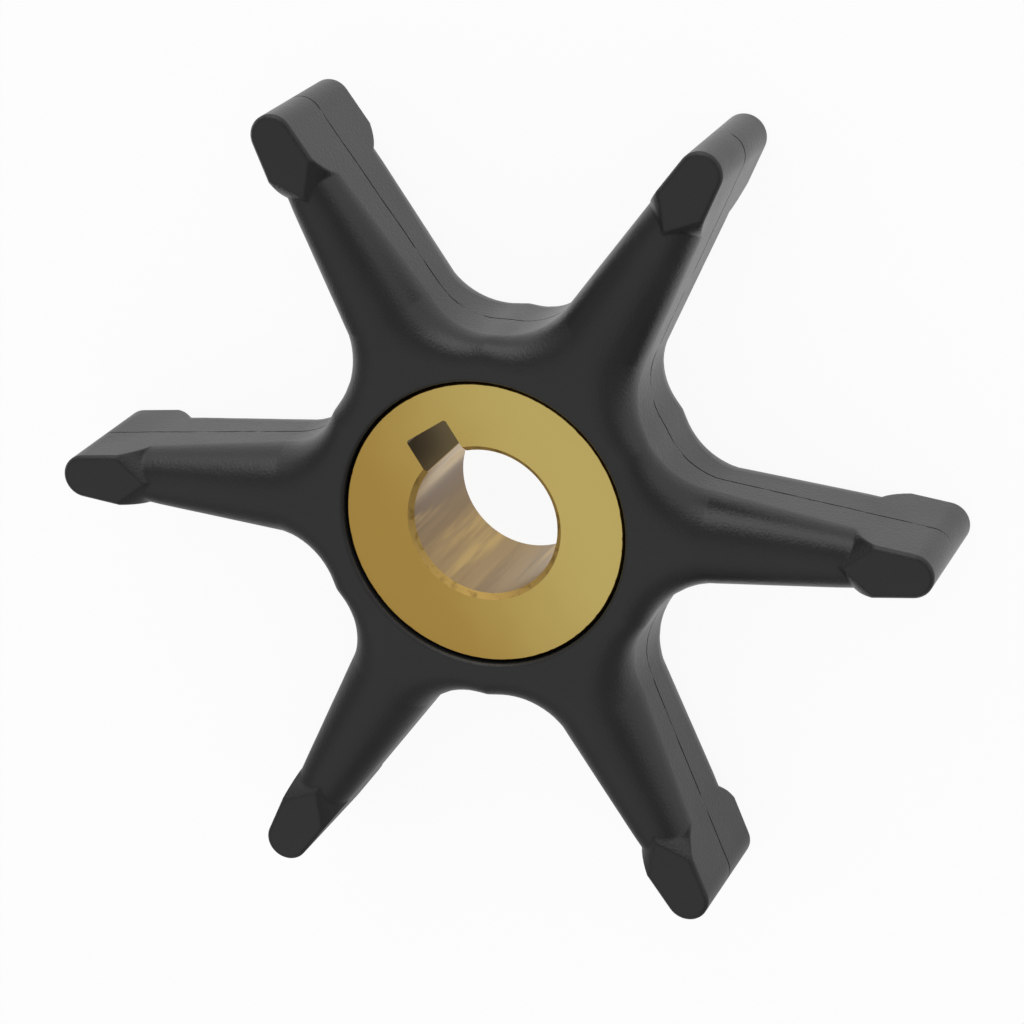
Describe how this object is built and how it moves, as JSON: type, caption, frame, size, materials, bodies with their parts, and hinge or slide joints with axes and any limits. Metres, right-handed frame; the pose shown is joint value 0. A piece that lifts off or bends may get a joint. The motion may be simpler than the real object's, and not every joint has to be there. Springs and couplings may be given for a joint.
{
  "type": "pump impeller",
  "caption": "Flexible pump impeller: a moulded rubber star of straight vanes with full-height tip heads, bonded round a keyed brass hub with a through bore.",
  "frame": {"origin": "on the bore axis, halfway between the two faces", "axes": "+Z along the bore axis, out of the front face; +X through the middle of the keyway"},
  "size_m": [0.0768, 0.0696, 0.0136],
  "materials": {
    "black_rubber": "satin moulded rubber",
    "turned_brass": "fine turned faces, satin"
  },
  "bodies": {
    "root": {"vane_body": "black_rubber", "hub_insert": "turned_brass"}
  },
  "joints": []
}
